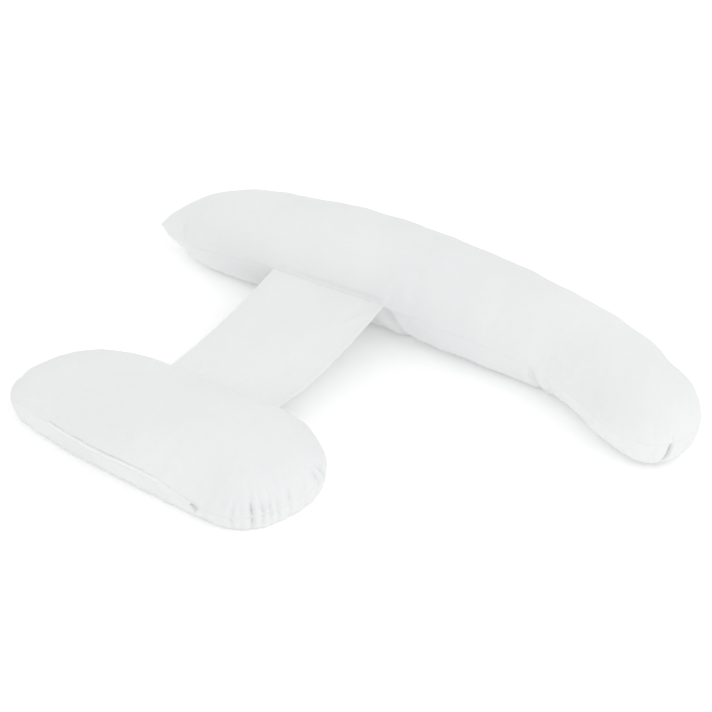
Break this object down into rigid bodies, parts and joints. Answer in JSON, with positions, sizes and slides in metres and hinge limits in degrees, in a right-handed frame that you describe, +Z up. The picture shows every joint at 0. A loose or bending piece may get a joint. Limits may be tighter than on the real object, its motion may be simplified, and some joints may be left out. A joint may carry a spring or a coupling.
{
  "type": "pregnancy pillow",
  "caption": "Long curved bolster, pointed at one end and round at the other, joined by a hemmed cloth belt to a short cushion with a zip in its seam.",
  "frame": {"origin": "on the floor under the middle of the pillow's bounding box", "axes": "+X along the bolster from its pointed end to its round end, +Y from the short cushion to the bolster, +Z up"},
  "size_m": [1.3328, 0.9068, 0.2152],
  "materials": {
    "pillow_cotton": "plain-woven white cotton, matt, filled smooth",
    "belt_cotton": "plain-woven white cotton in a flat hemmed panel",
    "zip_coil": "white woven nylon coil",
    "zip_metal": "small slider with light grey enamel"
  },
  "bodies": {
    "root": {"bolster": "pillow_cotton", "short_cushion": "pillow_cotton", "belt": "belt_cotton", "zip": "zip_coil", "zip_slider": "zip_metal"}
  },
  "joints": []
}
